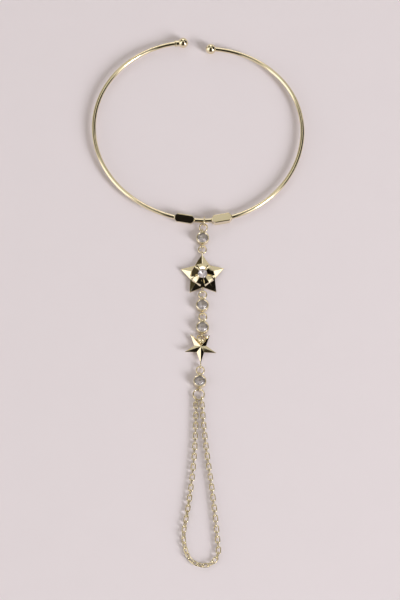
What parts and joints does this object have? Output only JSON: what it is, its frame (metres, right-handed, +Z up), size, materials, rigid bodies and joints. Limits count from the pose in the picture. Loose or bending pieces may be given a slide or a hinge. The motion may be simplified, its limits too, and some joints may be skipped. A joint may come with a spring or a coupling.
{
  "type": "hand chain bracelet",
  "caption": "Open wire wrist cuff with ball ends, joined by a row of linked stars and set crystals to a chain loop for one finger.",
  "frame": {"origin": "middle of the bounding box's underside, on the surface the bracelet lies on", "axes": "+Y towards the cuff and its opening, -Y towards the finger loop, +Z up from the surface, +X to the right seen from above with the cuff at the top"},
  "size_m": [0.0654, 0.1698, 0.0032],
  "materials": {
    "cuff_metal": "polished, plated pale gold",
    "bead_metal": "polished, plated pale gold",
    "ring_metal": "polished, plated pale gold",
    "bezel_metal": "polished, plated pale gold",
    "star_metal": "polished, plated pale gold",
    "chain_metal": "polished, plated pale gold",
    "crystal_glass": "clear, facet cut and polished"
  },
  "bodies": {
    "root": {"cuff": "cuff_metal", "screw_ball": "cuff_metal", "stopper_left": "bead_metal", "stopper_right": "bead_metal", "jump_ring_1": "ring_metal", "jump_ring_2": "ring_metal", "jump_ring_3": "ring_metal", "jump_ring_4": "ring_metal", "jump_ring_5": "ring_metal", "jump_ring_6": "ring_metal", "jump_ring_7": "ring_metal", "jump_ring_8": "ring_metal", "bezel_1": "bezel_metal", "bezel_2": "bezel_metal", "bezel_3": "bezel_metal", "bezel_4": "bezel_metal", "crystal_1": "crystal_glass", "crystal_2": "crystal_glass", "crystal_3": "crystal_glass", "crystal_4": "crystal_glass", "large_star": "star_metal", "star_crystal": "crystal_glass", "small_star": "star_metal", "finger_chain": "chain_metal"}
  },
  "joints": []
}
